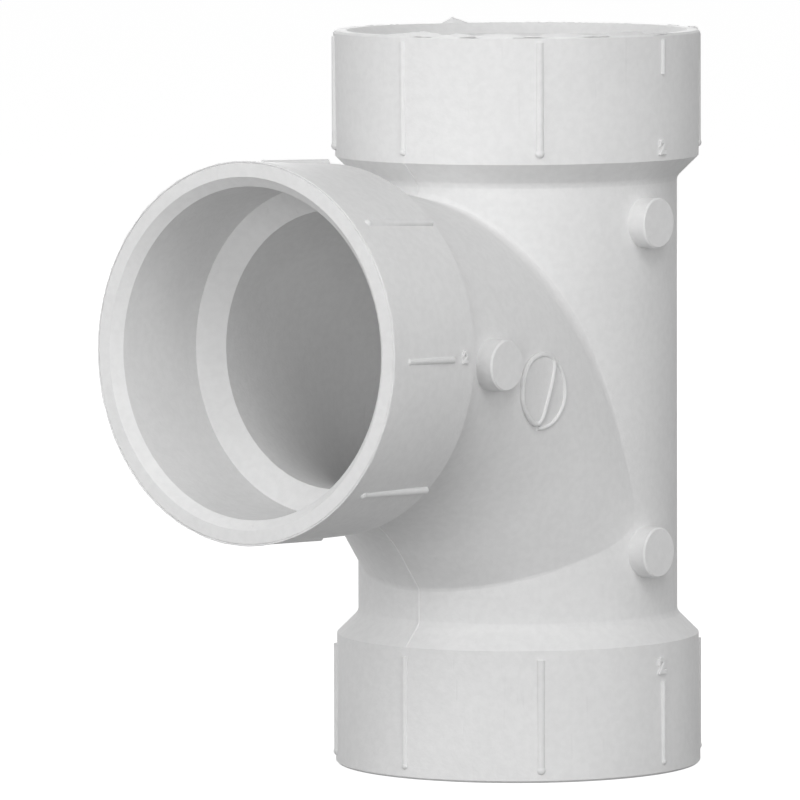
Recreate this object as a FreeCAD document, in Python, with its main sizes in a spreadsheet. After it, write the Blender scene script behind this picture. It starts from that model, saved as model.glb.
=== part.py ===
import FreeCAD, Part
import Sketcher
import math
import os

os.makedirs("parts", exist_ok=True)
doc = FreeCAD.newDocument("sanitary_tee")

# A moulded drain tee with three pipe sockets: a straight run standing upright and a branch that
# turns down into it on a long bend. Lengths are in millimetres and angles in degrees.
# The origin is on the run's axis in the plane of the lower rim. Z goes up the run and the branch
# leaves towards -Y, rising slightly, so that the drain falls towards the run.
SIZES = [
    ("socket_radius", 30.25, "pipe socket wall"),
    ("socket_depth", 22.6, "rim to pipe stop"),
    ("mouth_depth", 1.9, "lead-in bevel, along the axis"),
    ("mouth_flare", 1.75, "lead-in bevel, across the axis"),
    ("stop_step", 4.5, "height of the pipe stop, about a pipe's wall"),
    ("stop_slope", 3.1, "length of the sloping pipe stop"),
    ("barrel_wall", 4.3, "wall round the waterway"),
    ("branch_relief", 0.15, "the branch's neck and bend stay this much inside the barrel's width"),
    ("hub_wall", 4.15, "wall round a socket of the run at its rim"),
    ("hub_draft", 0.75, "taper of the run's hubs, in degrees"),
    ("branch_hub_wall", 4.55, "wall round the branch's socket at its rim"),
    ("branch_hub_draft", 1.6, "taper of the branch hub, in degrees"),
    ("upper_hub_cover", 0.9, "pipe stop to the hub's back edge"),
    ("lower_hub_cover", 1.9, "pipe stop to the hub's back edge"),
    ("branch_hub_cover", 1.4, "pipe stop to the hub's back edge"),
    ("shoulder_length", 4.0, "cone from a hub down to the barrel"),
    ("rim_rounding", 0.4, "outer edge of each rim"),
    ("branch_pitch", 2.0, "rise of the branch, in degrees"),
    ("bend_radius", 55.2, "centre line of the branch bend"),
    ("entry_angle", 38.6, "between the run and the branch where they meet, in degrees"),
    ("neck_length", 4.6, "straight bore between the bend and the branch's pipe stop"),
    ("throat_gap", 6.5, "lower shoulder's foot to the bottom of the branch's crease"),
    ("crown_gap", 3.15, "top of the branch's crease to the upper shoulder's foot"),
    ("crease_fillet", 1.2, "between the bend and the barrel"),
    ("shoulder_fillet", 1.5, "at the foot of each shoulder of the run"),
    ("pad_radius", 4.75, "ejector pads"),
    ("pad_rise", 3.35, "pad face above the barrel"),
    ("pad_edge", 0.3, "bevel round a pad's face"),
    ("upper_pad_drop", 7.6, "upper shoulder's foot to the pad's centre"),
    ("lower_pad_lift", 12.9, "lower shoulder's foot to the pad's centre"),
    ("bend_pad_setback", 7.5, "start of the bend to the pad's centre"),
    ("rib_radius", 0.72, "alignment ribs on the hubs, all round at each eighth of a turn"),
    ("seam_rib_radius", 0.6, "ribs on the mould seam and at the sides"),
    ("rib_sink", 0.25, "centre of a rib below the outside of the run's rims"),
    ("branch_rib_sink", 0.45, "centre of a rib below the outside of the branch's rim"),
    ("upper_rib_margin", 1.0, "upper rim to a rib"),
    ("lower_rib_margin", 2.0, "lower rim to a rib"),
    ("branch_rib_margin", 4.3, "branch rim to a rib"),
    ("rib_back_margin", 1.7, "rib to the back edge of a run hub"),
    ("branch_rib_back_margin", 1.1, "rib to the back edge of the branch hub"),
    ("upper_side_rib_length", 6.4, "ribs at the sides of the upper hub"),
    ("lower_side_rib_length", 15.4, "ribs at the sides of the lower hub"),
    ("branch_side_rib_length", 13.2, "ribs at the sides of the branch hub"),
]
sheet = doc.addObject("Spreadsheet::Sheet", "Sizes")
for row, (alias, value, what) in enumerate(SIZES, start=1):
    sheet.set("A%d" % row, alias)
    sheet.set("B%d" % row, str(value))
    sheet.setAlias("B%d" % row, alias)
    sheet.set("C%d" % row, what)
doc.recompute()

# Sizes that follow from the ones above
FOLLOWING = [
    ("bore_radius", "socket_radius - stop_step"),
    ("barrel_radius", "bore_radius + barrel_wall"),
    ("rim_radius", "socket_radius + hub_wall"),
    ("mouth_radius", "socket_radius + mouth_flare"),
    ("upper_hub_length", "socket_depth + upper_hub_cover"),
    ("lower_hub_length", "socket_depth + lower_hub_cover"),
    ("branch_hub_length", "socket_depth + branch_hub_cover"),
    ("upper_back_radius", "rim_radius - upper_hub_length * tan(hub_draft * 1deg)"),
    ("lower_back_radius", "rim_radius - lower_hub_length * tan(hub_draft * 1deg)"),
    ("branch_radius", "barrel_radius - branch_relief"),
    ("branch_bore_radius", "bore_radius - branch_relief"),
    ("branch_rim_radius", "socket_radius + branch_hub_wall"),
    ("branch_back_radius", "branch_rim_radius - branch_hub_length * tan(branch_hub_draft * 1deg)"),
    ("bend_start", "bend_radius * (1 - sin(branch_pitch * 1deg)) / cos(branch_pitch * 1deg)"),
    ("branch_stop", "bend_start + neck_length"),
    ("branch_reach", "branch_stop + socket_depth"),
    ("branch_bore_end", "branch_stop - stop_slope"),
    ("leg_length", "bend_radius * tan(entry_angle * 0.5deg)"),
    ("throat_run", "(barrel_radius - branch_radius * cos(entry_angle * 1deg)) / tan(entry_angle * 1deg)"),
    ("throat_drop", "branch_radius * sin(entry_angle * 1deg) - throat_run - leg_length"),
    ("lower_foot", "lower_hub_length + shoulder_length"),
    ("bend_level", "lower_foot + throat_gap + throat_drop"),
    ("branch_height", "bend_level + bend_start"),
    ("crown_rise", "sqrt((bend_radius + branch_radius)^2 - (bend_radius - barrel_radius)^2)"),
    ("upper_foot", "bend_level + crown_rise + crown_gap"),
    ("run_length", "upper_foot + shoulder_length + upper_hub_length"),
    ("shoulder_slope", "shoulder_length / (branch_back_radius - branch_radius)"),
    ("shoulder_root", "branch_reach - branch_hub_length - shoulder_length - barrel_wall * shoulder_slope"),
    ("pad_face", "barrel_radius + pad_rise"),
    ("upper_pad_height", "upper_foot - upper_pad_drop"),
    ("lower_pad_height", "lower_foot + lower_pad_lift"),
    ("bend_pad_reach", "bend_start - bend_pad_setback"),
    ("rib_reach", "rim_radius - rib_sink"),
    ("branch_rib_reach", "branch_rim_radius - branch_rib_sink"),
    ("upper_rib_length", "upper_hub_length - upper_rib_margin - rib_back_margin"),
    ("lower_rib_length", "lower_hub_length - lower_rib_margin - rib_back_margin"),
    ("branch_rib_length", "branch_hub_length - branch_rib_margin - branch_rib_back_margin"),
]
for row, (alias, formula) in enumerate(FOLLOWING, start=len(SIZES) + 2):
    sheet.set("A%d" % row, alias)
    sheet.set("B%d" % row, "=" + formula)
    sheet.setAlias("B%d" % row, alias)
doc.recompute()

body = doc.addObject("PartDesign::Body", "Tee")
body.Label = "tee_fitting"
doc.recompute()
planes = {f.Role: f for f in body.Origin.OriginFeatures}


def size(alias):
    value = sheet.get(alias)
    return float(getattr(value, "Value", value))


def sized(text):
    """The same formula with every size read from the sheet."""
    words = [alias for alias, *rest in SIZES + FOLLOWING]
    parts, word = [], ""
    for sign in text + " ":
        if sign.isalnum() or sign == "_":
            word += sign
            continue
        parts.append("Sizes." + word if word in words else word)
        parts.append(sign)
        word = ""
    return "".join(parts).strip()


def sketch_on(role, name, offset=None):
    """A sketch on one of the body's own planes, moved or turned by a formula."""
    sketch = body.newObject("Sketcher::SketchObject", name)
    sketch.AttachmentSupport = (planes[role], [""])
    sketch.MapMode = "FlatFace"
    if offset:
        sketch.setExpression("AttachmentOffset", sized(offset))
    doc.recompute()
    return sketch


def outline(sketch, corners):
    """A closed outline. Each corner is held at two formulas; a leading minus puts it on that side."""
    spots = []
    for pair in corners:
        spot = []
        for formula in pair:
            sign = -1 if formula.startswith("-") else 1
            formula = formula.lstrip("-").strip()
            value = 0.0 if formula == "0" else doc_value(formula)
            spot.append((sign, formula, value))
        spots.append(spot)
    points = [FreeCAD.Vector(a[0] * a[2], b[0] * b[2], 0) for a, b in spots]
    first = len(sketch.Geometry)
    for i, point in enumerate(points):
        sketch.addGeometry(Part.LineSegment(point, points[(i + 1) % len(points)]), False)
    for i in range(len(points)):
        after = (i + 1) % len(points)
        sketch.addConstraint(Sketcher.Constraint("Coincident", first + i, 2, first + after, 1))
    for i, spot in enumerate(spots):
        for kind, axis, (sign, formula, value) in (
            ("DistanceX", -2, spot[0]), ("DistanceY", -1, spot[1])
        ):
            if formula == "0":
                sketch.addConstraint(Sketcher.Constraint("PointOnObject", first + i, 1, axis))
                continue
            ends = (-1, 1, first + i, 1) if sign > 0 else (first + i, 1, -1, 1)
            held = sketch.addConstraint(Sketcher.Constraint(kind, *ends, value))
            sketch.setExpression("Constraints[%d]" % held, sized(formula))


def doc_value(formula):
    value = sheet.evalExpression(sized(formula))
    return float(getattr(value, "Value", value))


def ring(sketch, across, up, radius):
    """A circle whose centre and radius are formulas; a leading minus puts it on that side."""
    spots = []
    for formula in (across, up):
        sign = -1 if formula.startswith("-") else 1
        formula = formula.lstrip("-").strip()
        spots.append((sign, formula, 0.0 if formula == "0" else doc_value(formula)))
    centre = FreeCAD.Vector(spots[0][0] * spots[0][2], spots[1][0] * spots[1][2], 0)
    circle = Part.Circle(centre, FreeCAD.Vector(0, 0, 1), doc_value(radius))
    index = sketch.addGeometry(circle, False)
    held = sketch.addConstraint(Sketcher.Constraint("Radius", index, doc_value(radius)))
    sketch.setExpression("Constraints[%d]" % held, sized(radius))
    for kind, axis, (sign, formula, value) in (
        ("DistanceX", -2, spots[0]), ("DistanceY", -1, spots[1])
    ):
        if formula == "0":
            sketch.addConstraint(Sketcher.Constraint("PointOnObject", index, 3, axis))
            continue
        ends = (-1, 1, index, 3) if sign > 0 else (index, 3, -1, 1)
        held = sketch.addConstraint(Sketcher.Constraint(kind, *ends, value))
        sketch.setExpression("Constraints[%d]" % held, sized(formula))


def turned(kind, name, sketch, axis, angle="360"):
    """A revolution or a groove of the sketch about one of its own axes."""
    feature = body.newObject(kind, name)
    feature.Profile = sketch
    feature.ReferenceAxis = (sketch, [axis])
    feature.setExpression("Angle", sized(angle))
    sketch.Visibility = False
    doc.recompute()
    return feature


def padded(name, sketch, length, back=False):
    """The sketch drawn out along its normal, or against it."""
    feature = body.newObject("PartDesign::Pad", name)
    feature.Profile = sketch
    feature.Reversed = back
    feature.setExpression("Length", sized(length))
    sketch.Visibility = False
    doc.recompute()
    return feature


# Outside of the run: two hubs, their shoulders and the barrel between them
run_outside = sketch_on("YZ_Plane", "run_outside")
outline(run_outside, [
    ("0", "0"),
    ("rim_radius - rim_rounding", "0"),
    ("rim_radius", "rim_rounding"),
    ("lower_back_radius", "lower_hub_length"),
    ("barrel_radius", "lower_foot"),
    ("barrel_radius", "upper_foot"),
    ("upper_back_radius", "run_length - upper_hub_length"),
    ("rim_radius", "run_length - rim_rounding"),
    ("rim_radius - rim_rounding", "run_length"),
    ("0", "run_length"),
])
run = turned("PartDesign::Revolution", "run", run_outside, "V_Axis")


def edges_between(shape, first, second):
    """Names of the edges where a face of the first kind meets one of the second."""
    names = []
    for number, edge in enumerate(shape.Edges, start=1):
        faces = shape.ancestorsOfType(edge, Part.Face)
        if len(faces) == 2 and (
            (first(faces[0]) and second(faces[1])) or (first(faces[1]) and second(faces[0]))
        ):
            names.append("Edge%d" % number)
    return names


def is_barrel(face):
    surface = face.Surface
    return (
        isinstance(surface, Part.Cylinder)
        and abs(surface.Radius - size("barrel_radius")) < 1e-4
        and abs(surface.Axis.z) > 0.9999
    )


def is_bend(face):
    """The bend's arc or its straight leg."""
    surface = face.Surface
    slope = math.cos(math.radians(size("entry_angle")))
    return isinstance(surface, Part.Toroid) or (
        isinstance(surface, Part.Cylinder) and abs(abs(surface.Axis.z) - slope) < 1e-6
    )


def is_shoulder(face):
    """A cone of the run that is steeper than the hubs' draft."""
    surface = face.Surface
    return (
        isinstance(surface, Part.Cone)
        and abs(surface.Axis.z) > 0.9999
        and abs(surface.SemiAngle) > math.radians(2 * size("hub_draft"))
    )


feet = body.newObject("PartDesign::Fillet", "shoulder_feet")
feet.Base = (run, edges_between(run.Shape, is_barrel, is_shoulder))
feet.setExpression("Radius", sized("shoulder_fillet"))
doc.recompute()

# Outside of the bend: an arc that turns the branch down, and a straight leg from it into the run
bend_frame = (
    "placement(vector(0; 0 - bend_radius; bend_level); rotation(vector(1; 0; 0); entry_angle))"
)
bend_outside = sketch_on("XY_Plane", "bend_outside", bend_frame)
ring(bend_outside, "0", "bend_radius", "branch_radius")
leg = padded("leg", bend_outside, "leg_length", True)
bend = turned("PartDesign::Revolution", "bend", bend_outside, "H_Axis",
              "90 - branch_pitch - entry_angle")

# Neck: carries the end of the bend on, straight, into the branch hub
branch_frame = (
    "placement(vector(0; branch_height; 0); rotation(vector(0; 0; 1); 0 - branch_pitch))"
)
neck_outside = sketch_on("YZ_Plane", "neck_outside", branch_frame)
outline(neck_outside, [
    ("-bend_start", "0"),
    ("-bend_start", "branch_radius"),
    ("-branch_stop", "branch_radius"),
    ("-branch_stop", "0"),
])
turned("PartDesign::Revolution", "neck", neck_outside, "H_Axis")

# Outside of the branch hub. Its shoulder runs on inwards, so that it meets the bend at any size
hub_outside = sketch_on("YZ_Plane", "hub_outside", branch_frame)
outline(hub_outside, [
    ("-shoulder_root", "0"),
    ("-shoulder_root", "branch_radius - barrel_wall"),
    ("-(branch_reach - branch_hub_length)", "branch_back_radius"),
    ("-(branch_reach - rim_rounding)", "branch_rim_radius"),
    ("-branch_reach", "branch_rim_radius - rim_rounding"),
    ("-branch_reach", "0"),
])
branch = turned("PartDesign::Revolution", "branch_hub", hub_outside, "H_Axis")


# A small fillet in the crease where the bend and its leg meet the barrel
crease = body.newObject("PartDesign::Fillet", "crease")
crease.Base = (branch, edges_between(branch.Shape, is_barrel, is_bend))
crease.setExpression("Radius", sized("crease_fillet"))
doc.recompute()


# Flat round pads on one mould half, all at one level, where ejector pins push the tee off its core
for name, reach, up in (
    ("upper_pad", "0", "upper_pad_height"),
    ("lower_pad", "0", "lower_pad_height"),
    ("bend_pad", "-bend_pad_reach", "branch_height"),
):
    pad_sketch = sketch_on("YZ_Plane", name + "_outline")
    ring(pad_sketch, reach, up, "pad_radius")
    pad = padded(name, pad_sketch, "pad_face")

# A fine bevel round each pad's face
bevel = body.newObject("PartDesign::Chamfer", "pad_bevel")
bevel.Base = (pad, [
    "Edge%d" % number
    for number, edge in enumerate(pad.Shape.Edges, start=1)
    if all(abs(v.X - size("pad_face")) < 1e-6 for v in edge.Vertexes)
    and isinstance(edge.Curve, Part.Circle)
])
bevel.setExpression("Size", sized("pad_edge"))
doc.recompute()


def ribs(name, role, frame, reach, radius, length, count):
    """A half-round rib along a hub, repeated evenly round its axis."""
    sketch = sketch_on(role, name + "_section", frame)
    ring(sketch, "0", reach, radius)
    rib = padded(name, sketch, length)
    pattern = body.newObject("PartDesign::PolarPattern", name + "_round")
    pattern.Originals = [rib]
    pattern.Axis = (sketch, ["N_Axis"])
    pattern.Angle = 360
    pattern.Occurrences = count
    body.Tip = pattern
    doc.recompute()


# Alignment ribs. Each hub has long ones on the mould seam and between, and shorter ones at its sides
on_run = "placement(vector(0; 0; %s); rotation(vector(0; 0; 1); %d))"
on_branch = (
    "placement(vector(0; branch_height + (%s) * sin(branch_pitch * 1deg);"
    " (%s) * cos(branch_pitch * 1deg)); rotation(vector(1; 0; 0); 0 - branch_pitch)"
    " * rotation(vector(0; 0; 1); %d))"
)


def rib_set(name, turn, count, radius, upper, lower, outer):
    """The same ribs on the upper hub, the lower hub and the branch's outer hub."""
    start = "run_length - upper_rib_margin - " + upper
    ribs("upper_" + name, "XY_Plane", on_run % (start, turn), "rib_reach", radius, upper, count)
    start = "lower_rib_margin"
    ribs("lower_" + name, "XY_Plane", on_run % (start, turn), "rib_reach", radius, lower, count)
    start = "branch_reach - branch_rib_margin - " + outer
    ribs("branch_" + name, "XZ_Plane", on_branch % (start, start, turn), "branch_rib_reach",
         radius, outer, count)


lengths = ("upper_rib_length", "lower_rib_length", "branch_rib_length")
side_lengths = ("upper_side_rib_length", "lower_side_rib_length", "branch_side_rib_length")
rib_set("corner_ribs", 45, 4, "rib_radius", *lengths)
rib_set("seam_ribs", 0, 2, "seam_rib_radius", *lengths)
rib_set("side_ribs", 90, 2, "seam_rib_radius", *side_lengths)

# Waterway of the run: a bevelled mouth, a pipe socket and a sloping stop at each end of the bore
run_inside = sketch_on("YZ_Plane", "run_inside")
outline(run_inside, [
    ("0", "0"),
    ("mouth_radius", "0"),
    ("socket_radius", "mouth_depth"),
    ("socket_radius", "socket_depth"),
    ("bore_radius", "socket_depth + stop_slope"),
    ("bore_radius", "run_length - socket_depth - stop_slope"),
    ("socket_radius", "run_length - socket_depth"),
    ("socket_radius", "run_length - mouth_depth"),
    ("mouth_radius", "run_length"),
    ("0", "run_length"),
])
run_waterway = turned("PartDesign::Groove", "run_waterway", run_inside, "V_Axis")

# Waterway of the branch: the same socket and stop as the run's, then the bore up to the bend
branch_inside = sketch_on("YZ_Plane", "branch_inside", branch_frame)
outline(branch_inside, [
    ("-bend_start", "0"),
    ("-bend_start", "branch_bore_radius"),
    ("-branch_bore_end", "branch_bore_radius"),
    ("-branch_stop", "socket_radius"),
    ("-(branch_reach - mouth_depth)", "socket_radius"),
    ("-branch_reach", "mouth_radius"),
    ("-branch_reach", "0"),
])
branch_waterway = turned("PartDesign::Groove", "branch_waterway", branch_inside, "H_Axis")

# Waterway of the bend: the same arc and leg as its outside, a wall's thickness in
bend_inside = sketch_on("XY_Plane", "bend_inside", bend_frame)
ring(bend_inside, "0", "bend_radius", "branch_bore_radius")
leg_waterway = body.newObject("PartDesign::Pocket", "leg_waterway")
leg_waterway.Profile = bend_inside
leg_waterway.setExpression("Length", sized("leg_length"))
doc.recompute()
bend_waterway = turned("PartDesign::Groove", "bend_waterway", bend_inside, "H_Axis",
                       "90 - branch_pitch - entry_angle")

# Nothing is written unless every feature built and the tee is one sound solid
doc.recompute()
failed = [o.Name for o in doc.Objects if {"Invalid", "Error"} & set(o.State)]
shape = body.Shape
if failed or shape.isNull() or not shape.isValid() or len(shape.Solids) != 1:
    raise RuntimeError("the tee did not build: %s" % (failed or "unsound shape"))
shape.Solids[0].exportStep("parts/%s.step" % body.Label)
print(body.Label, "volume", round(shape.Volume / 1000, 2), "cm3", "faces", len(shape.Faces))
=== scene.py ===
# %% [markdown]
# # A moulded drain tee
#
# The object is one plastic moulding: a straight run of pipe with a socket at each end, and a
# third socket whose branch turns down into the run. Its shape is already made, as a solid, so this
# lesson is about the rest: the finish of moulded PVC, the fine marks that a steel mould leaves on
# it, and a plain studio in which pale plastic still shows its form.

import math

import bmesh
import bpy
from mathutils import Matrix, Vector, noise


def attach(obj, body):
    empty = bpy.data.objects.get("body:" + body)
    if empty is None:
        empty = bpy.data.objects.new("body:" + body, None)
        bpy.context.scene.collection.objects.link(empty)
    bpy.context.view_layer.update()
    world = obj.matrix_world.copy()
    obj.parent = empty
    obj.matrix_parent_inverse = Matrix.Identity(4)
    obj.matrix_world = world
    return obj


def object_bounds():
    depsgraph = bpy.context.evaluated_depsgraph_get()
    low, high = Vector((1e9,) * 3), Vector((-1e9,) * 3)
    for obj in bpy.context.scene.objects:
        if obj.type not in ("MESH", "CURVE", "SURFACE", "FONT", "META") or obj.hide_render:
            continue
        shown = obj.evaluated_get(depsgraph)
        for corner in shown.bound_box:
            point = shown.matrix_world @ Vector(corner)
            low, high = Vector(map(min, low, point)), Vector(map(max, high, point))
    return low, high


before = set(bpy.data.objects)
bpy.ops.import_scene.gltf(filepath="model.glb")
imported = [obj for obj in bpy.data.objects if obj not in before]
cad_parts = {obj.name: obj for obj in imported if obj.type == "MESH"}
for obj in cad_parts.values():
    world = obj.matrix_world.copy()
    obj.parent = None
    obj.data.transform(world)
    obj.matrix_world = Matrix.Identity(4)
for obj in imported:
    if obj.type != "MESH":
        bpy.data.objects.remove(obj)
scene = bpy.context.scene
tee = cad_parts["tee_fitting"]
cad_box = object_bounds()
print("solid, in mm:", [round(1000 * (b - a), 1) for a, b in zip(*cad_box)])

# %% [markdown]
# ## Camera
#
# The camera stands to the right of the branch's axis and a little above the middle of the run. It
# is far away and has a long lens, so upright edges stay nearly parallel, as in a catalogue
# photograph. A lens could be given as a field of view. Here it is given as a focal length in
# pixels, because that is what a fit to a photograph finds, and a lens and a sensor in millimetres
# have the same ratio as that focal length and the picture's width.

# %% Camera
AZIMUTH = math.radians(38.583)     # from the branch's axis round to the camera
ELEVATION = math.radians(4.848)
ROLL = math.radians(-0.191)
DISTANCE = 1.635151
FOCAL = 8694.223                   # in pixels of an 800 pixel picture
CENTRE = (407.758, 403.258)        # where the lens axis meets the picture
AIM = (517.326, 390.532)           # where the aim point falls in the picture
AIM_POINT = Vector((0.0, 0.0, 0.070))
PICTURE = 800.0
SENSOR = 36.0

back = Vector((
    math.sin(AZIMUTH) * math.cos(ELEVATION),
    -math.cos(AZIMUTH) * math.cos(ELEVATION),
    math.sin(ELEVATION),
))
right = Vector((0, 0, 1)).cross(back).normalized()
up = back.cross(right)
right, up = (
    right * math.cos(ROLL) + up * math.sin(ROLL),
    up * math.cos(ROLL) - right * math.sin(ROLL),
)
eye = (
    AIM_POINT
    + back * DISTANCE
    - right * (AIM[0] - CENTRE[0]) / FOCAL * DISTANCE
    + up * (AIM[1] - CENTRE[1]) / FOCAL * DISTANCE
)
lens = bpy.data.cameras.new("camera")
lens.sensor_width = SENSOR
lens.sensor_fit = "HORIZONTAL"
lens.lens = FOCAL / PICTURE * SENSOR
lens.shift_x = (PICTURE / 2 - CENTRE[0]) / PICTURE
lens.shift_y = (CENTRE[1] - PICTURE / 2) / PICTURE
lens.clip_start = 0.05
lens.clip_end = 30.0
camera = bpy.data.objects.new("camera", lens)
scene.collection.objects.link(camera)
camera.matrix_world = Matrix.Translation(eye) @ Matrix((right, up, back)).transposed().to_4x4()
scene.camera = camera
print("lens", round(lens.lens, 1), "mm, eye", [round(v, 3) for v in eye])

# %% [markdown]
# ## Nodes without the clicking
#
# Materials and Geometry Nodes are both trees of nodes. Each could be wired by hand in the editor.
# In a script, one small helper makes a node, sets its switches and feeds its inputs, so that a
# tree reads almost like the sum that it works out.


# %% A helper for node trees
def node(tree, kind, feeds=None, **switches):
    """A node. A feed is a number to set or a socket to link, by the input's name or place."""
    made = tree.nodes.new(kind)
    for name, value in switches.items():
        setattr(made, name, value)
    for name, value in (feeds or {}).items():
        if isinstance(value, bpy.types.NodeSocket):
            tree.links.new(value, made.inputs[name])
        else:
            made.inputs[name].default_value = value
    return made


def sum_of(tree, operation, first, second=0.0, clamp=False):
    """One step of arithmetic in a tree."""
    return node(
        tree, "ShaderNodeMath", {0: first, 1: second}, operation=operation, use_clamp=clamp
    ).outputs[0]


print("kinds of node wired by one helper: shader and geometry")

# %% [markdown]
# ## Floor and background
#
# White plastic on white paper has almost no edges left. A photographer keeps them by lighting the
# object from a few sides and leaving dark air round it, and the white of the page comes later. The
# same is done here with Light Path: the floor and the world are a mid grey to the light that
# reaches the object, and white to the eye. The floor still adds a little of its own shading to
# that white, so it keeps a soft shadow where the tee stands.

# %% Floor and world
scene.view_settings.view_transform = "Standard"
FLOOR_GREY = 0.35                  # what the floor gives back to the object
FLOOR_GLOW = 0.88                  # what the eye sees of it before its own shading is added
FLOOR_HALF = 6                     # metres from its middle to its sides
AIR = 0.32                         # light from all round


def seen_directly(tree):
    """1 for a ray that shows the surface to the eye, also by gloss or glass, and 0 for light."""
    path = node(tree, "ShaderNodeLightPath")
    seen = sum_of(tree, "ADD", path.outputs["Is Camera Ray"], path.outputs["Is Glossy Ray"])
    return sum_of(tree, "ADD", seen, path.outputs["Is Transmission Ray"], clamp=True)


paper = bpy.data.materials.new("pale_floor")
paper.use_nodes = True
tree = paper.node_tree
tree.nodes.clear()
shading = node(tree, "ShaderNodeBsdfDiffuse", {"Color": (FLOOR_GREY, FLOOR_GREY, FLOOR_GREY, 1)})
glow = node(tree, "ShaderNodeEmission", {
    "Strength": sum_of(tree, "MULTIPLY", seen_directly(tree), FLOOR_GLOW),
})
both = node(tree, "ShaderNodeAddShader", {0: shading.outputs[0], 1: glow.outputs[0]})
node(tree, "ShaderNodeOutputMaterial", {"Surface": both.outputs[0]})

sheet = bpy.data.meshes.new("floor")
sheet.from_pydata(
    [(FLOOR_HALF * x, FLOOR_HALF * y, 0) for x, y in ((-1, -1), (1, -1), (1, 1), (-1, 1))],
    [], [(0, 1, 2, 3)],
)
sheet.materials.append(paper)
floor = bpy.data.objects.new("floor", sheet)
scene.collection.objects.link(floor)

world = bpy.data.worlds.new("studio")
scene.world = world
world.use_nodes = True
tree = world.node_tree
air = tree.nodes["Background"]
air.inputs["Color"].default_value = (1, 1, 1, 1)
lift = sum_of(tree, "MULTIPLY", seen_directly(tree), 1.0 - AIR)
tree.links.new(sum_of(tree, "ADD", lift, AIR), air.inputs["Strength"])
print("floor", [round(v, 1) for v in floor.dimensions], "m; air at", AIR)

# %% [markdown]
# ## Soft boxes
#
# Six round soft boxes stand on a ring about the tee. One in front, low down, fills the open
# socket, and one higher up lights the run. Two at the left and one at the right draw the edges,
# and the one behind lights the side that the camera doesn't see. A single large lamp would be
# simpler, but it leaves either the socket or the bend without shape. The powers were found by
# rendering the tee under one lamp at a time: light adds up, so the mix that comes nearest to a
# photograph is a plain least-squares sum.

# %% Soft boxes
LIT_POINT = Vector((0.0, -0.02, 0.07))
BOX_DISTANCE = 1.4
BOX_SIZE = 0.7
SOFT_BOXES = (
    # name, degrees round from the camera, degrees up, watts
    ("front_low", -12, 8, 5.3),
    ("front_high", 12, 42, 5.3),
    ("left", -60, 25, 3.2),
    ("left_low", -85, 8, 2.3),
    ("right_low", 40, 8, 3.1),
    ("behind", 180, 20, 4.5),
)
for name, round_by, raised, watts in SOFT_BOXES:
    turn, rise = AZIMUTH + math.radians(round_by), math.radians(raised)
    way = Vector((
        math.sin(turn) * math.cos(rise), -math.cos(turn) * math.cos(rise), math.sin(rise),
    ))
    lamp = bpy.data.lights.new(name, "AREA")
    lamp.shape = "DISK"
    lamp.size = BOX_SIZE
    lamp.energy = watts
    box = bpy.data.objects.new(name, lamp)
    scene.collection.objects.link(box)
    box.location = LIT_POINT + way * BOX_DISTANCE
    box.rotation_euler = way.to_track_quat("Z", "Y").to_euler()
print(len(SOFT_BOXES), "soft boxes,", round(sum(row[3] for row in SOFT_BOXES), 1), "W")

# %% [markdown]
# ## The finish of moulded PVC
#
# Drain fittings are moulded from rigid PVC in a fine-blasted steel mould. The skin is a neutral
# off-white, half matt, with three kinds of detail: a faint cloudiness where filler and plastic
# mixed, tiny pits copied from the steel, and rub marks from the bin it was sold from. A painted
# map could hold all that, but a map needs unwrapping and stops at its own resolution. Noise on
# Object coordinates is solid through the plastic, so it never stretches or shows a join.

# %% PVC: cloudiness, pits and rub marks
pvc = bpy.data.materials.new("moulded_pvc")
pvc.use_nodes = True
tree = pvc.node_tree
skin = tree.nodes["Principled BSDF"]
place = node(tree, "ShaderNodeTexCoord").outputs["Object"]


def clouds(scale, detail, low, high, near=0.35, far=0.65, along=None):
    """Noise of a scale, per metre, spread between two values. Along stretches it on an axis."""
    where = along or place
    fac = node(tree, "ShaderNodeTexNoise", {"Vector": where, "Scale": scale, "Detail": detail})
    return node(tree, "ShaderNodeMapRange", {
        "Value": fac.outputs["Fac"], "From Min": near, "From Max": far,
        "To Min": low, "To Max": high,
    }).outputs["Result"]


PVC_TONE = 0.78
RUB_DARKENS, RUB_ROUGHENS = 0.022, 0.12
tone = sum_of(tree, "ADD", clouds(55, 3.0, -0.012, 0.012), PVC_TONE)
tone = sum_of(tree, "ADD", tone, clouds(700, 2.0, -0.014, 0.014))
drawn_out = node(tree, "ShaderNodeMapping", {"Vector": place, "Scale": (1.0, 1.0, 0.08)})
rubs = clouds(1100, 2.0, 0.0, 1.0, 0.66, 0.72, drawn_out.outputs["Vector"])
patches = clouds(42, 2.0, 0.0, 1.0, 0.52, 0.62)
rubbed = sum_of(tree, "MULTIPLY", rubs, patches)
tone = sum_of(tree, "SUBTRACT", tone, sum_of(tree, "MULTIPLY", rubbed, RUB_DARKENS))
tree.links.new(tone, skin.inputs["Base Color"])

gloss = clouds(150, 3.0, 0.56, 0.66)
gloss = sum_of(tree, "ADD", gloss, sum_of(tree, "MULTIPLY", rubbed, RUB_ROUGHENS))
tree.links.new(gloss, skin.inputs["Roughness"])
skin.inputs["Specular IOR Level"].default_value = 0.2

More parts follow.
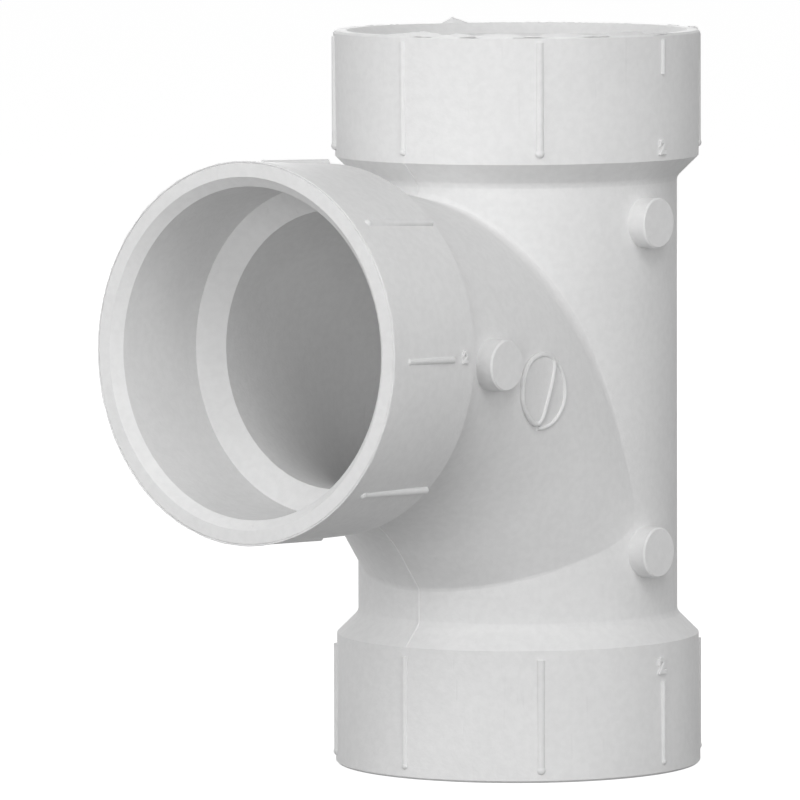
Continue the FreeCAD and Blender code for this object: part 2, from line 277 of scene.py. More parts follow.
pits = node(tree, "ShaderNodeBump", {
    "Height": clouds(1500, 2.0, 0.0, 1.0), "Strength": 0.5, "Distance": 0.00003,
})
sinks = node(tree, "ShaderNodeBump", {
    "Height": clouds(70, 1.0, 0.0, 1.0), "Strength": 0.5, "Distance": 0.00012,
    "Normal": pits.outputs["Normal"],
})
scores = node(tree, "ShaderNodeBump", {
    "Height": sum_of(tree, "SUBTRACT", 1.0, rubbed), "Strength": 0.4, "Distance": 0.00004,
    "Normal": sinks.outputs["Normal"],
})
tree.links.new(scores.outputs["Normal"], skin.inputs["Normal"])
for slot in range(len(tee.data.materials)):
    tee.data.materials[slot] = pvc
print("PVC nodes:", len(tree.nodes), "on", len(tee.data.polygons), "faces")

# %% [markdown]
# ## Where the surfaces are
#
# Every mark below sits on the moulding, so each needs a rule that says where the skin is. The tee
# is all cones, a cylinder and a part of a ring, so a few lines of arithmetic do what ray casting
# could do, and they give the same answer each time. Lengths are in millimetres here, because that
# is how a maker thinks of them, and become metres when a point is placed.

# %% Where the skin is
MM = 0.001
TOP = cad_box[1][2] / MM                         # upper rim; the lower rim is at 0
RIM_RADIUS, HUB_DRAFT = 34.4, math.tan(math.radians(0.75))
BARREL_RADIUS = 30.05
BRANCH_RADIUS, BEND_RADIUS = 29.9, 55.2
BEND_CENTRE = (-55.2, 25.952)                    # y and z
BRANCH_HEIGHT, PITCH = 79.258, math.radians(2.0)
BRANCH_REACH, BRANCH_RIM, BRANCH_DRAFT = 80.506, 34.8, math.tan(math.radians(1.6))
OUTWARD = Vector((0, -math.cos(PITCH), math.sin(PITCH)))
UPWARD = Vector((0, math.sin(PITCH), math.cos(PITCH)))


def on_run_hub(angle, height, proud=0.0):
    """A point on the outside of a hub of the run; the angle is from +X towards +Y."""
    radius = RIM_RADIUS - HUB_DRAFT * min(height, TOP - height) + proud
    return Vector((radius * math.cos(angle), radius * math.sin(angle), height)) * MM


def on_branch_hub(along, angle, proud=0.0):
    """A point on the outside of the branch hub; the angle is from +X up."""
    radius = BRANCH_RIM - BRANCH_DRAFT * (BRANCH_REACH - along) + proud
    axis = Vector((0, 0, BRANCH_HEIGHT)) + OUTWARD * along
    return (axis + radius * (math.cos(angle) * Vector((1, 0, 0)) + math.sin(angle) * UPWARD)) * MM


def on_bend_side(y, z, proud=0.0):
    """A point on the right side of the bend."""
    reach = (y - BEND_CENTRE[0], z - BEND_CENTRE[1])
    length = math.hypot(*reach)
    tilt = math.asin((length - BEND_RADIUS) / BRANCH_RADIUS)
    slip = proud * math.sin(tilt) / length
    return Vector((
        (BRANCH_RADIUS + proud) * math.cos(tilt), y + reach[0] * slip, z + reach[1] * slip
    )) * MM


print("upper hub near its rim:", [round(v / MM, 2) for v in on_run_hub(0, TOP)])

# %% How a mesh becomes a finished piece
DOUBLED = 1e-7                                   # metres between points that are one point


def merged(mesh):
    """The mesh with its doubled points joined and its faces turned outwards."""
    tidy = bmesh.new()
    tidy.from_mesh(mesh)
    bmesh.ops.remove_doubles(tidy, verts=tidy.verts, dist=DOUBLED)
    bmesh.ops.recalc_face_normals(tidy, faces=tidy.faces)
    tidy.to_mesh(mesh)
    tidy.free()
    return mesh


def fitted(name, mesh, smooth=True):
    """A finished piece: its place is in its mesh, and it rides on the moulding."""
    for face in mesh.polygons:
        face.use_smooth = smooth
    if not mesh.materials:
        mesh.materials.append(pvc)
    piece = bpy.data.objects.new(name, mesh)
    scene.collection.objects.link(piece)
    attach(piece, "root")
    return piece


print("points less than", DOUBLED, "m apart are joined; every piece rides on the moulding")

# %% [markdown]
# ## Size numerals
#
# Each socket has its pipe size beside it: a plain 2, cut into the mould, so it stands up from the
# plastic by half a millimetre. It could be a bump in the material, but a raised numeral catches
# light on one side and drops a shadow on the other, which only real relief does from every angle.
# Blender's own letterform is given thickness and a soft edge, made a mesh, and each of its points
# is then carried onto the curve of the hub.


# %% Size numerals
def numeral(name, height, wrap):
    """A 2 of a height in mm, whose points are placed by wrap(across, up, proud)."""
    letter = bpy.data.curves.new(name, "FONT")
    letter.body = "2"
    letter.align_x, letter.align_y = "CENTER", "CENTER"
    letter.size = 10.0
    letter.extrude = 0.5
    letter.offset = 0.3
    letter.bevel_depth = 0.3
    letter.bevel_resolution = 2
    letter.resolution_u = 10
    stand_in = bpy.data.objects.new(name + "_letter", letter)
    scene.collection.objects.link(stand_in)
    bpy.context.view_layer.update()
    ready = stand_in.evaluated_get(bpy.context.evaluated_depsgraph_get())
    mesh = bpy.data.meshes.new_from_object(ready)
    mesh.name = name
    bpy.data.objects.remove(stand_in)
    corners = [v.co.copy() for v in mesh.vertices]
    low = [min(c[i] for c in corners) for i in range(3)]
    high = [max(c[i] for c in corners) for i in range(3)]
    k = height / (high[1] - low[1])
    deep = (high[2] - low[2]) / NUMERAL_THICKNESS
    for vertex in mesh.vertices:
        across = (vertex.co.x - (low[0] + high[0]) / 2) * k
        rise = (vertex.co.y - (low[1] + high[1]) / 2) * k
        vertex.co = wrap(across, rise, (vertex.co.z - high[2]) / deep + NUMERAL_PROUD)
    return fitted(name, merged(mesh), smooth=False)


NUMERAL_THICKNESS, NUMERAL_PROUD = 0.75, 0.5     # what isn't proud is sunk into the hub
ROUND_RUN, ROUND_BRANCH = 34.1, 34.2             # a length round a hub over this is an angle
numerals = [
    numeral("upper_numeral", 2.9,
            lambda u, v, w: on_run_hub((u - 0.15) / ROUND_RUN, 116.95 + v, w)),
    numeral("lower_numeral", 3.2,
            lambda u, v, w: on_run_hub((u - 0.45) / ROUND_RUN, 20.4 + v, w)),
    numeral("branch_numeral", 2.3,
            lambda u, v, w: on_branch_hub(59.45 - u, (0.42 + v) / ROUND_BRANCH, w)),
]
print("numerals:", [len(piece.data.polygons) for piece in numerals], "faces")

# %% [markdown]
# ## Beads that follow a line
#
# Where the two halves of the mould meet, plastic creeps into the gap and leaves a fine raised line
# right round the fitting. The ring of the stamp is a bead of the same kind, cut on purpose. Both
# are a thin round cord sunk most of the way into the skin, so one Geometry Nodes tree makes them
# all: it walks along a curve in even steps, lets noise swell and thin the cord a little, and
# sweeps a circle along it. Its sizes are named inputs, so each line is set without touching the
# tree. Each tree of this lesson starts and ends in the same way, which two helpers take up.


# %% How a tree starts and ends
def new_tree(name, inputs, output):
    """An empty tree with named inputs, the identifiers that set them, and their sockets."""
    tree = bpy.data.node_groups.new(name, "GeometryNodeTree")
    keys = {
        label: tree.interface.new_socket(
            label, in_out="INPUT", socket_type="NodeSocket" + kind).identifier
        for label, kind in inputs
    }
    tree.interface.new_socket(output, in_out="OUTPUT", socket_type="NodeSocketGeometry")
    return tree, keys, node(tree, "NodeGroupInput").outputs


def end_tree(tree, shape, finish):
    """Copies made real, a material set, and the shape handed out."""
    real = node(tree, "GeometryNodeRealizeInstances", {"Geometry": shape})
    dressed = node(tree, "GeometryNodeSetMaterial", {
        "Geometry": real.outputs["Geometry"], "Material": finish,
    })
    node(tree, "NodeGroupOutput", {0: dressed.outputs["Geometry"]})
    print(tree.name, "tree:", len(tree.nodes), "nodes")


def grow(holder, tree, keys, values):
    """Put a tree on an object and set its inputs."""
    growth = holder.modifiers.new(tree.name, "NODES")
    growth.node_group = tree
    for label, value in values.items():
        growth[keys[label]] = value


print("a tree is put on an object as a modifier, with its inputs set by identifier")

# %% The bead tree
bead_tree, bead_keys, given = new_tree("bead_along_line", (
    ("Line", "Geometry"), ("Step", "Float"), ("Radius", "Float"), ("Unevenness", "Float"),
    ("Swells per metre", "Float"), ("Finish", "Material"),
), "Bead")
even = node(bead_tree, "GeometryNodeResampleCurve", {
    "Curve": given["Line"], "Length": given["Step"],
}, mode="LENGTH")
swell = node(bead_tree, "ShaderNodeTexNoise", {
    "Scale": given["Swells per metre"], "Detail": 2.0,
})
swell = sum_of(bead_tree, "SUBTRACT", swell.outputs["Fac"], 0.5)
swell = sum_of(bead_tree, "MULTIPLY", swell, given["Unevenness"])
circle = node(bead_tree, "GeometryNodeCurvePrimitiveCircle", {
    "Resolution": 10, "Radius": given["Radius"],
})
cord = node(bead_tree, "GeometryNodeCurveToMesh", {
    "Curve": even.outputs["Curve"], "Profile Curve": circle.outputs["Curve"],
    "Scale": sum_of(bead_tree, "ADD", swell, 1.0), "Fill Caps": True,
})
end_tree(bead_tree, cord.outputs["Mesh"], given["Finish"])


# %% Lines and how they become beads
def line_object(name, lines, closed=False, radii=None):
    """A curve object of straight-run splines. A radius can ride on each point of each line."""
    curve = bpy.data.curves.new(name, "CURVE")
    curve.dimensions = "3D"
    for number, points in enumerate(lines):
        spline = curve.splines.new("POLY")
        spline.points.add(len(points) - 1)
        for index, point in enumerate(points):
            spline.points[index].co = (*point, 1.0)
            if radii:
                spline.points[index].radius = radii[number][index]
        spline.use_cyclic_u = closed
    holder = bpy.data.objects.new(name, curve)
    scene.collection.objects.link(holder)
    return holder


def plain_mesh(holder, name):
    """The evaluated shape of an object as a mesh of its own; the object goes."""
    bpy.context.view_layer.update()
    ready = holder.evaluated_get(bpy.context.evaluated_depsgraph_get())
    mesh = bpy.data.meshes.new_from_object(ready)
    mesh.name = name
    for modifier in list(holder.modifiers):
        holder.modifiers.remove(modifier)
    bpy.data.objects.remove(holder)
    return merged(mesh)


def bead(name, lines, radius, unevenness=0.3, swells=300.0, closed=False):
    """Beads of a radius in mm along lines of placed points."""
    holder = line_object(name + "_line", lines, closed)
    grow(holder, bead_tree, bead_keys, {
        "Step": BEAD_STEP * MM, "Radius": radius * MM, "Unevenness": unevenness,
        "Swells per metre": swells, "Finish": pvc,
    })
    return fitted(name, plain_mesh(holder, name))


BEAD_STEP = 0.4
print("a line is a list of placed points; a bead is swept along it, a ring every", BEAD_STEP, "mm")

# %% [markdown]
# ## The mould's parting line
#
# The mould opens to the left and right, so its parting line lies in the plane between the branch's
# two sides. It runs down the front of the barrel, out along the bottom of the branch, back over
# its top, and up the back of the run. Its line is drawn from the same arcs and slopes as the
# solid. Corners are eased, because the fillets of the solid ease them too and a straight corner
# would dip under the skin.


# %% Lines in the mould's plane
def eased(points, radius):
    """The same chain with each inner corner cut by a short arc, as points."""
    out = [Vector(points[0])]
    for before, corner, after in zip(points, points[1:], points[2:]):
        before, corner, after = Vector(before), Vector(corner), Vector(after)
        a, b = (before - corner).normalized(), (after - corner).normalized()
        cut = min(
            radius / math.tan(a.angle(b) / 2),
            (before - corner).length / 2,
            (after - corner).length / 2,
        )
        for step in range(EASING + 1):
            t = step / EASING
            out.append(corner + a * cut * (1 - t) ** 2 + b * cut * t ** 2)
    return out + [Vector(points[-1])]


def on_bend(radius, degrees):
    """A point (y, z) at a radius and a turn about the bend's centre."""
    turn = math.radians(degrees)
    return Vector((
        BEND_CENTRE[0] + radius * math.cos(turn), BEND_CENTRE[1] + radius * math.sin(turn),
    ))


def bend_arc(radius, first, last, steps=24):
    """Points of an arc about the bend's centre, from one turn to another."""
    return [on_bend(radius, first + (last - first) * i / steps) for i in range(steps + 1)]


def branch_profile(side):
    """Shoulder of the branch hub in the mould's plane, above (+1) or below (-1) its axis."""
    chain = []
    for along, radius in BRANCH_SHOULDER:
        spot = OUTWARD * along + UPWARD * side * (radius - SEAM_SUNK)
        chain.append(Vector((spot.y, BRANCH_HEIGHT + spot.z)))
    return chain


EASING = 4                                       # steps round an eased corner
SEAM_RADIUS, SEAM_SUNK = 0.28, 0.12
BRANCH_SHOULDER = ((52.9, 30.2), (56.5, 34.0), (57.4, 34.04))    # along the branch, and radius
print("lower shoulder of the branch hub, y and z:",
      [tuple(round(v, 1) for v in point) for point in branch_profile(-1)])

# %% Parting line
LOWER_SHOULDER, UPPER_SHOULDER = (24.5, 28.5), (110.4, 114.4)    # heights
foot, shoulder = BARREL_RADIUS - SEAM_SUNK, 34.0 - SEAM_SUNK
inner, outer = BEND_RADIUS - BRANCH_RADIUS + SEAM_SUNK, BEND_RADIUS + BRANCH_RADIUS - SEAM_SUNK
front_low = eased([
    (-shoulder, LOWER_SHOULDER[0]), (-foot, LOWER_SHOULDER[1]), (-foot, 35.0),
    on_bend(inner, 39),
], 1.4) + bend_arc(inner, 41, 86) + branch_profile(-1)
top_turn = math.degrees(math.acos((-foot - BEND_CENTRE[0]) / outer))
front_high = branch_profile(1)[::-1] + bend_arc(outer, 86, top_turn + 5) + eased([
    on_bend(outer, top_turn + 4), on_bend(outer, top_turn),
    (-foot, UPPER_SHOULDER[0]), (-shoulder, UPPER_SHOULDER[1]),
], 0.9)
rear = eased([
    (shoulder, LOWER_SHOULDER[0]), (foot, LOWER_SHOULDER[1]),
    (foot, UPPER_SHOULDER[0]), (shoulder, UPPER_SHOULDER[1]),
], 1.4)
seam = bead(
    "parting_line",
    [[Vector((0, p[0], p[1])) * MM for p in chain] for chain in (front_low, front_high, rear)],
    SEAM_RADIUS, unevenness=0.5, swells=220.0,
)
print("parting line:", len(seam.data.polygons), "faces")

# %% [markdown]
# ## The cove along the crease
#
# Where the branch runs into the barrel a toolmaker blends the corner by hand, wider on the
# branch's side than on the barrel's. The solid has an even fillet there. The hand blend is a strip
# laid over it: for each step along the crease, a curve leaves the barrel, passes over the corner
# and lands flat on the bend. A wider fillet in the solid would be simpler, but it would be the
# same width on both sides all the way. The edges of the strip are marked sharp, so that its
# shading runs on into the surfaces that it meets.

# %% A section across the cove
# How far the cove reaches down the bend, in mm, by degrees from the crown.
COVE_WIDTHS = ((0, 3.0), (15, 4.0), (30, 4.6), (45, 4.4), (60, 3.0), (70, 1.4), (82, 0.5))
MOST_ON_BARREL, SHARE_ON_BARREL = 1.2, 0.4       # the shorter reach up the barrel
COVE_ENDS = 80                                   # degrees from the crown
COVE_STEPS = 8                                   # across the cove
SKIN_SUNK = 0.02                                 # its long edges lie this far under the skin
ROOT_SUNK = 0.5                                  # and its underside this far, both ways


def between(table, spot):
    """The value of a (place, value) table at a place, in a straight line from row to row."""
    for (start, first), (end, last) in zip(table, table[1:]):
        if spot <= end:
            return first + (last - first) * max(0.0, spot - start) / (end - start)
    return table[-1][1]


def ring_middle(spot):
    """The point of the bend's middle line nearest to a place."""
    way = Vector((0, spot.y - BEND_CENTRE[0], spot.z - BEND_CENTRE[1])).normalized()
    return Vector((0, *BEND_CENTRE)) + way * BEND_RADIUS


def crease(angle):
    """A point of the crease; the angle is from +X towards +Y."""
    x, y = BARREL_RADIUS * math.cos(angle), BARREL_RADIUS * math.sin(angle)
    out = BEND_RADIUS + math.sqrt(max(0.0, BRANCH_RADIUS ** 2 - x * x))
    rise = math.sqrt(out * out - (y - BEND_CENTRE[0]) ** 2)
    return Vector((x, y, BEND_CENTRE[1] + rise))


def cove_section(angle, width):
    """Points across the cove, from the barrel to the bend, and one under the skin."""
    spot = crease(angle)
    along = (crease(angle + 0.01) - crease(angle - 0.01)).normalized()
    off_barrel = Vector((math.cos(angle), math.sin(angle), 0))
    off_bend = (spot - ring_middle(spot)).normalized()
    on_barrel = spot + along.cross(off_barrel) * -min(MOST_ON_BARREL, SHARE_ON_BARREL * width)
    flat = Vector((on_barrel.x, on_barrel.y, 0)).normalized() * (BARREL_RADIUS - SKIN_SUNK)
    on_barrel = flat + Vector((0, 0, on_barrel.z))
    on_bend = spot + along.cross(off_bend) * width
    middle = ring_middle(on_bend)
    on_bend = middle + (on_bend - middle).normalized() * (BRANCH_RADIUS - SKIN_SUNK)
    places = [step / COVE_STEPS for step in range(COVE_STEPS + 1)]
    return [
        on_barrel * (1 - t) ** 2 + spot * 2 * t * (1 - t) + on_bend * t ** 2 for t in places
    ] + [spot - (off_barrel + off_bend) * ROOT_SUNK]


print("crown of the crease:", [round(v, 2) for v in crease(math.radians(-90))])


# %% Rows of points, and the piece that they make
def join_rows(shape, rows, ring=True):
    """Faces from each row of points to the next. In a ring the last point joins the first."""
    for before, after in zip(rows, rows[1:]):
        for k in range(len(before) if ring else len(before) - 1):
            n = (k + 1) % len(before)
            shape.faces.new((before[k], before[n], after[n], after[k]))


def built(name, shape):
    """A finished piece from points and faces made one by one, its faces turned outwards."""
    bmesh.ops.recalc_face_normals(shape, faces=shape.faces)
    mesh = bpy.data.meshes.new(name)
    shape.to_mesh(mesh)
    shape.free()
    return fitted(name, mesh)


print("a skin is laid from row to row")

# %% Cove
SHARP = math.radians(35)
cove = bmesh.new()
sections = [
    cove_section(math.radians(degrees - 90), between(COVE_WIDTHS, abs(degrees)))
    for degrees in range(-COVE_ENDS, COVE_ENDS + 1)
]
rows = [[cove.verts.new(point * MM) for point in section] for section in sections]
join_rows(cove, rows)
for end in (rows[0], rows[-1]):
    cove.faces.new(end)
bmesh.ops.recalc_face_normals(cove, faces=cove.faces)
for edge in cove.edges:
    edge.smooth = edge.calc_face_angle() < SHARP
crease_cove = built("crease_cove", cove)
crown = sections[COVE_ENDS]
print("cove:", len(crease_cove.data.polygons), "faces, at the crown from z",
      round(crown[0].z, 2), "by", round(crown[COVE_STEPS].z, 2))

# %% [markdown]
# ## Round heads on the ribs
#
# The ribs on the hubs were milled into the steel, and where the cutter was set down it left a
# slightly larger round pocket, so most ribs have a small round head at one end. On the run's hubs
# it is the lower end, and on the branch's hub the end by the mouth. Each could be placed by hand,
# but a list of points with a radius on each is shorter, and Geometry Nodes set one ball on each
# point, sunk to its middle in the plastic.

# %% The tree that sets a head on each point
head_tree, head_keys, given = new_tree("round_heads", (
    ("Line", "Geometry"), ("Smoothness", "Int"), ("Finish", "Material"),
), "Heads")
spots = node(head_tree, "GeometryNodeCurveToPoints", {"Curve": given["Line"]}, mode="EVALUATED")
ball = node(head_tree, "GeometryNodeMeshIcoSphere", {
    "Radius": 1.0, "Subdivisions": given["Smoothness"],
})
heads = node(head_tree, "GeometryNodeInstanceOnPoints", {
    "Points": spots.outputs["Points"], "Instance": ball.outputs["Mesh"],
    "Scale": node(head_tree, "GeometryNodeInputRadius").outputs[0],
})
end_tree(head_tree, heads.outputs["Instances"], given["Finish"])

# %% Rib heads
LONG_HEAD, SEAM_HEAD = 0.86, 0.7                 # radii; the ribs themselves are 0.72 and 0.6
RIB_REACH, BRANCH_RIB_REACH = 34.15, 34.35       # from a hub's axis to the middle of a rib
HEAD_INSET = 0.35                                # so that a ball still covers its rib's flat end
UPPER_FOOT = TOP - 21.8 + HEAD_INSET             # lower ends of the ribs on the run's hubs
LOWER_FOOT = 2.0 + HEAD_INSET
BRANCH_FRONT = BRANCH_REACH - 4.3 - HEAD_INSET   # ends of the branch's ribs by its mouth
HEAD_SMOOTHNESS = 3
places, sizes = [], []
for turn in range(0, 360, 45):
    angle = math.radians(turn)
    size = LONG_HEAD if turn % 90 else SEAM_HEAD
    across, along = RIB_REACH * math.cos(angle), RIB_REACH * math.sin(angle)
    ring = Vector((BRANCH_RIB_REACH * math.cos(angle), 0, 0))
    ring += UPWARD * BRANCH_RIB_REACH * math.sin(angle)
    ends = [Vector((across, along, LOWER_FOOT)),
            Vector((0, 0, BRANCH_HEIGHT)) + OUTWARD * BRANCH_FRONT + ring]
    if turn not in (0, 180):                     # the short ribs of the upper hub have no head
        ends.append(Vector((across, along, UPPER_FOOT)))
    places += ends
    sizes += [size] * len(ends)
holder = line_object(
    "rib_ends", [[place * MM for place in places]], radii=[[size * MM for size in sizes]],
)
grow(holder, head_tree, head_keys, {"Smoothness": HEAD_SMOOTHNESS, "Finish": pvc})
rib_heads = fitted("rib_heads", plain_mesh(holder, "rib_heads"))
print("rib heads:", len(places), "with", len(rib_heads.data.polygons), "faces")

# %% [markdown]
# ## The ring stamp
#
# On the side of the bend a round insert in the mould leaves a ring, and inside it a raised plate
# that fills the left of the ring and narrows to its foot. The plate could be cut from a flat sheet
# and bent, but it is easier to say how high its skin stands at each step in from its edge, and to
# lay every step straight onto the curve of the bend. Ring and edge are beads again.


# %% Outlines of the stamp
def rounded(points, steps=5):
    """A smooth closed line through the points (a Catmull-Rom spline)."""
    out = []
    count = len(points)
    for i in range(count):
        a, b, c, d = (Vector(points[(i + k) % count]) for k in (-1, 0, 1, 2))
        for step in range(steps):
            t = step / steps
            out.append((
                2 * b + (c - a) * t + (2 * a - 5 * b + 4 * c - d) * t ** 2
                + (3 * b - a - 3 * c + d) * t ** 3
            ) / 2)
    return out


def stamp_line(offsets, proud):
    """Points on the bend's side, from offsets towards +Y and up from the stamp's centre."""
    return [on_bend_side(STAMP[0] + y, STAMP[1] + z, proud) for y, z in offsets]


STAMP = (-30.5, 73.3)                            # y and z of the ring's centre
PLATE = rounded((
    (-6.3, -0.2), (-6.3, 2.9), (-5.2, 5.1), (-3.1, 6.4), (-0.7, 6.8), (1.4, 6.5), (2.7, 5.7),
    (2.9, 4.4), (2.3, 2.7), (1.4, 0.2), (0.7, -2.0), (0.1, -4.2), (-0.6, -5.5), (-1.9, -5.7),
    (-3.6, -4.4), (-5.3, -2.4),
))
RING = [
    (6.3 * math.cos(math.radians(a)), 6.9 * math.sin(math.radians(a)) + 0.1)
    for a in range(-96, 50, 4)
]
print("outline of the plate:", len(PLATE), "points; of the ring:", len(RING))

# %% Ring stamp
# The plate's size at each step in from its edge, as a share, and how proud it stands there.
STEPS_IN = ((1.0, -0.12), (0.985, 0.35), (0.94, 0.5), (0.8, 0.42), (0.55, 0.36), (0.25, 0.33))
TOP_PROUD, UNDER_PROUD = 0.32, -0.3              # at the plate's middle, above and below
middle = Vector((-1.6, 1.2))
plate = bmesh.new()
rows = [
    [plate.verts.new(v) for v in stamp_line([middle + (p - middle) * k for p in PLATE], proud)]
    for k, proud in STEPS_IN
]
join_rows(plate, rows)
over = plate.verts.new(stamp_line([middle], TOP_PROUD)[0])
under = plate.verts.new(stamp_line([middle], UNDER_PROUD)[0])
for i in range(len(PLATE)):
    n = (i + 1) % len(PLATE)
    plate.faces.new((rows[-1][i], rows[-1][n], over))
    plate.faces.new((rows[0][n], rows[0][i], under))
stamp_plate = built("stamp_plate", plate)
stamp_edge = bead("stamp_edge", [stamp_line(PLATE, 0.3)], 0.52, unevenness=0.25, closed=True)
stamp_ring = bead("stamp_ring", [stamp_line(RING, 0.05)], 0.4, unevenness=0.3)
print("stamp:", sum(len(p.data.polygons) for p in (stamp_plate, stamp_edge, stamp_ring)), "faces")

# %% [markdown]
# ## Ragged flash on the rims
#
# Where the core slides out of a socket, a film of plastic a tenth of a millimetre thick is left
# standing on the rim. It tears, so it comes and goes. Modelling each scrap by hand would take an
# hour. Here a line is drawn along the rim and each of its points carries a height, roughly where
# film is seen. Geometry Nodes then step along it, break the height up with noise, and raise a fin,
# which Solidify makes into a film with two sides. Some scraps have been pushed outwards, so a
# third set leans towards the front. The branch's mouth has only a rough edge, and an uneven bead
# will do.

# %% The fin tree
fin_tree, fin_keys, given = new_tree("torn_fin", (
    ("Line", "Geometry"), ("Step", "Float"), ("Lean", "Vector"), ("Tears per metre", "Float"),
    ("Least share", "Float"), ("Seed", "Float"), ("Finish", "Material"),
), "Fin")
even = node(fin_tree, "GeometryNodeResampleCurve", {
    "Curve": given["Line"], "Length": given["Step"],
}, mode="LENGTH")
marked = node(fin_tree, "GeometryNodeStoreNamedAttribute", {
    "Geometry": even.outputs["Curve"], "Name": "fin_height",
    "Value": node(fin_tree, "GeometryNodeInputRadius").outputs[0],
}, data_type="FLOAT", domain="POINT")
edge = node(fin_tree, "GeometryNodeCurveToMesh", {"Curve": marked.outputs["Geometry"]})
tears = node(fin_tree, "ShaderNodeTexNoise", {
    "W": given["Seed"], "Scale": given["Tears per metre"], "Detail": 3.0,
}, noise_dimensions="4D")
tears = node(fin_tree, "ShaderNodeMapRange", {
    "Value": tears.outputs["Fac"], "From Min": 0.4, "From Max": 0.6,
    "To Min": given["Least share"], "To Max": 1.0,
}).outputs["Result"]
height = node(
    fin_tree, "GeometryNodeInputNamedAttribute", {"Name": "fin_height"}, data_type="FLOAT",
)
raised = node(fin_tree, "GeometryNodeExtrudeMesh", {
    "Mesh": edge.outputs["Mesh"], "Offset": given["Lean"],
    "Offset Scale": sum_of(fin_tree, "MULTIPLY", tears, height.outputs[0]),
}, mode="EDGES")
end_tree(fin_tree, raised.outputs["Mesh"], given["Finish"])


# %% Film along a line
def fin(name, lines, heights, lean, seed, least):
    """Torn film along lines of placed points. Heights, in mm, ride on the points."""
    holder = line_object(name + "_line", lines, radii=[[h * MM for h in row] for row in heights])
    grow(holder, fin_tree, fin_keys, {
        "Step": FILM_STEP * MM, "Lean": lean, "Tears per metre": TEARS, "Seed": seed,
        "Least share": least, "Finish": pvc,
    })
    film = holder.modifiers.new("film", "SOLIDIFY")
    film.thickness = FILM_THICKNESS * MM
    film.offset = 0.0
    return fitted(name, plain_mesh(holder, name), smooth=False)


def rim_line(spots, radius, level):
    """Points and heights along the upper rim, from (degrees, height) pairs."""
    points, heights = [], []
    for (start, first), (end, last) in zip(spots, spots[1:]):
        for step in range(RIM_STEPS):
            t = step / RIM_STEPS
            angle = math.radians(start + (end - start) * t)
            points.append(Vector((radius * math.cos(angle), radius * math.sin(angle), level)) * MM)
            heights.append(first + (last - first) * t)
    return points, heights


FILM_STEP, FILM_THICKNESS, FILM_SUNK = 0.15, 0.14, 0.1
RIM_STEPS = 8                                    # from one named height to the next
TEARS = 900.0                                    # a metre
print("film", FILM_THICKNESS, "mm thick, stepped every", FILM_STEP, "mm")

# %% Flash
# Degrees round the upper rim, and the film's height there in mm.
NEAR_FILM = ((
    (-100, 0.1), (-96, 0.35), (-91, 0.6), (-86, 0.9), (-83, 1.1), (-80.5, 1.0), (-78, 0.85),
    (-76, 0.5), (-73.5, 0.45), (-71.5, 0.8), (-69, 0.75), (-66.5, 0.45), (-63.5, 0.4),
    (-61, 0.8), (-57, 0.85), (-53, 0.8), (-51, 0.4), (-48, 0.35), (-45, 0.35), (-43, 0.8),
    (-38, 0.85), (-33, 0.8), (-31, 0.4), (-27, 0.3), (-24, 0.4), (-22.5, 0.75), (-14, 0.8),
    (-9.5, 0.7), (-8.5, 0.35), (0, 0.35), (6, 0.15), (20, 0.05),
),)
FAR_FILM = (
    ((60, 0.05), (66, 0.3), (70, 0.25), (72, 0.05)),
    ((34, 0.05), (38, 0.35), (42, 0.45), (48, 0.5), (54, 0.35), (58, 0.05)),
    ((76, 0.05), (90, 0.18), (115, 0.2), (136, 0.18), (142, 0.05)),
    ((160, 0.05), (175, 0.22), (190, 0.22), (205, 0.05)),
)
CHIPS = (
    ((-87, 0.1), (-84, 0.6), (-81, 0.5), (-79, 0.1)),
    ((-70, 0.1), (-68, 0.55), (-65.5, 0.7), (-63, 0.3)),
    ((-53.5, 0.1), (-50, 0.5), (-46, 0.6), (-43.5, 0.1)),
    ((-31.5, 0.1), (-29.5, 0.7), (-27.5, 0.4), (-24, 0.6), (-22, 0.2)),
    ((-4, 0.1), (-1, 0.6), (3, 0.2)),
)
OUTWARDS = (math.sin(AZIMUTH) * 0.8, -math.cos(AZIMUTH) * 0.8, 0.45)
film_pieces = []
for name, rows, inset, lean, seed, least in (
    ("near_flash", NEAR_FILM, 0.45, (0, 0, 1), 3.0, 0.82),
    ("far_flash", FAR_FILM, 0.45, (0, 0, 1), 8.0, 0.4),
    ("rim_chips", CHIPS, 0.15, OUTWARDS, 5.0, 0.3),
):
    lines, heights = zip(*(rim_line(row, RIM_RADIUS - inset, TOP - FILM_SUNK) for row in rows))
    film_pieces.append(fin(name, lines, heights, lean, seed, least))
mouth_edge = [on_branch_hub(BRANCH_REACH - 0.12, math.radians(a), -0.1) for a in range(360)]
film_pieces.append(bead("mouth_flash", [mouth_edge], 0.15, 2.2, swells=420.0, closed=True))
print("flash:", [len(piece.data.polygons) for piece in film_pieces], "faces")

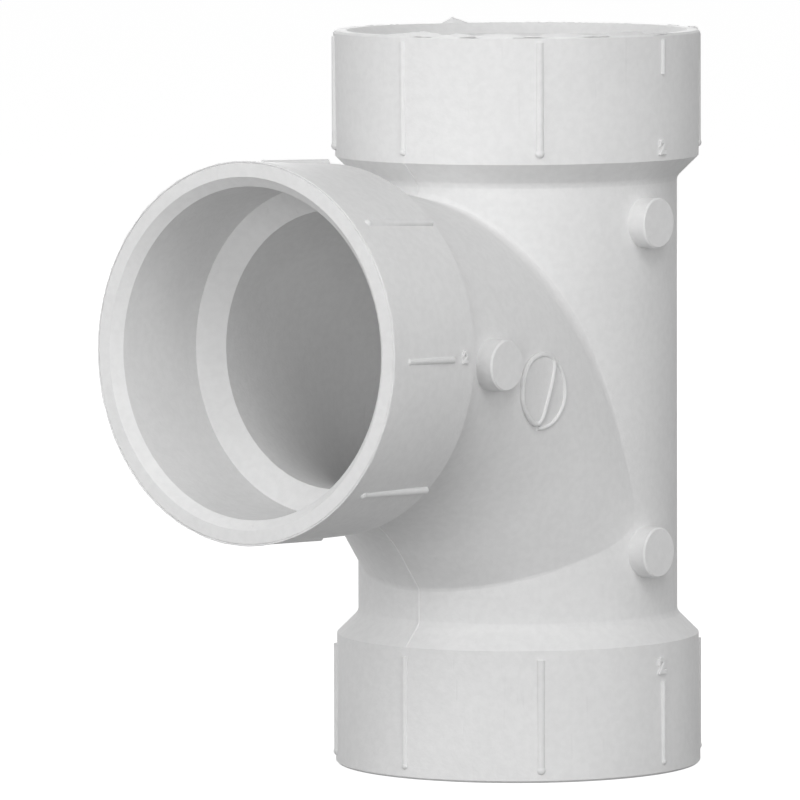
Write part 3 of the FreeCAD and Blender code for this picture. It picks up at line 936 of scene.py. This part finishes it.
# %% [markdown]
# ## The broken gate
#
# Molten plastic entered the mould at the far side of the upper rim. When the sprue is snapped off
# it leaves a small torn lump. It is built as a short ridge that follows the rim, with a height for
# each step read off the photograph's outline, and its top is roughened with noise that comes out
# the same each time. A sculpted blob would do too, but a ridge of named heights is easy to change.

# %% Broken gate
# Degrees round the upper rim, and the ridge's height there in mm.
GATE = ((153.4, 0.0), (152.0, 0.35), (150.6, 0.75), (149.6, 1.15), (148.7, 0.95), (147.6, 0.7),
        (146.4, 0.5), (145.2, 0.25), (144.0, 0.0))
GATE_INSET, GATE_WIDTH, GATE_SUNK = 1.1, 1.3, 0.15
GATE_STEPS, GATE_ACROSS = 32, 8
BASE_SUNK = 0.3                                  # the lump's flat underside, below the rim
CREST = 2.2                                      # how square the ridge is across
ROUGHNESS = 0.22                                 # of the ridge's height
lump = bmesh.new()
rows = []
for i in range(GATE_STEPS + 1):
    spot = i / GATE_STEPS * (len(GATE) - 1)
    j = min(int(spot), len(GATE) - 2)
    (start, first), (end, last) = GATE[j], GATE[j + 1]
    angle = math.radians(start + (end - start) * (spot - j))
    rise = first + (last - first) * (spot - j)
    row = []
    for k in range(GATE_ACROSS + 1):
        s = k / GATE_ACROSS * 2 - 1
        radius = RIM_RADIUS - GATE_INSET + s * GATE_WIDTH / 2
        level = TOP - GATE_SUNK + (rise + GATE_SUNK) * max(0.0, 1 - abs(s) ** CREST)
        rough = noise.noise(Vector((angle * 40, s * 1.7, 4.2))) * ROUGHNESS * rise
        row.append(lump.verts.new(
            Vector((radius * math.cos(angle), radius * math.sin(angle), level + rough)) * MM
        ))
    rows.append(row)
join_rows(lump, rows, ring=False)
skirt = (
    rows[0] + [row[-1] for row in rows[1:-1]] + rows[-1][::-1] + [row[0] for row in rows[-2:0:-1]]
)
base = [lump.verts.new((point.co.x, point.co.y, (TOP - BASE_SUNK) * MM)) for point in skirt]
join_rows(lump, [skirt, base])
lump.faces.new(base)
gate = built("broken_gate", lump)
print("gate:", len(gate.data.polygons), "faces")
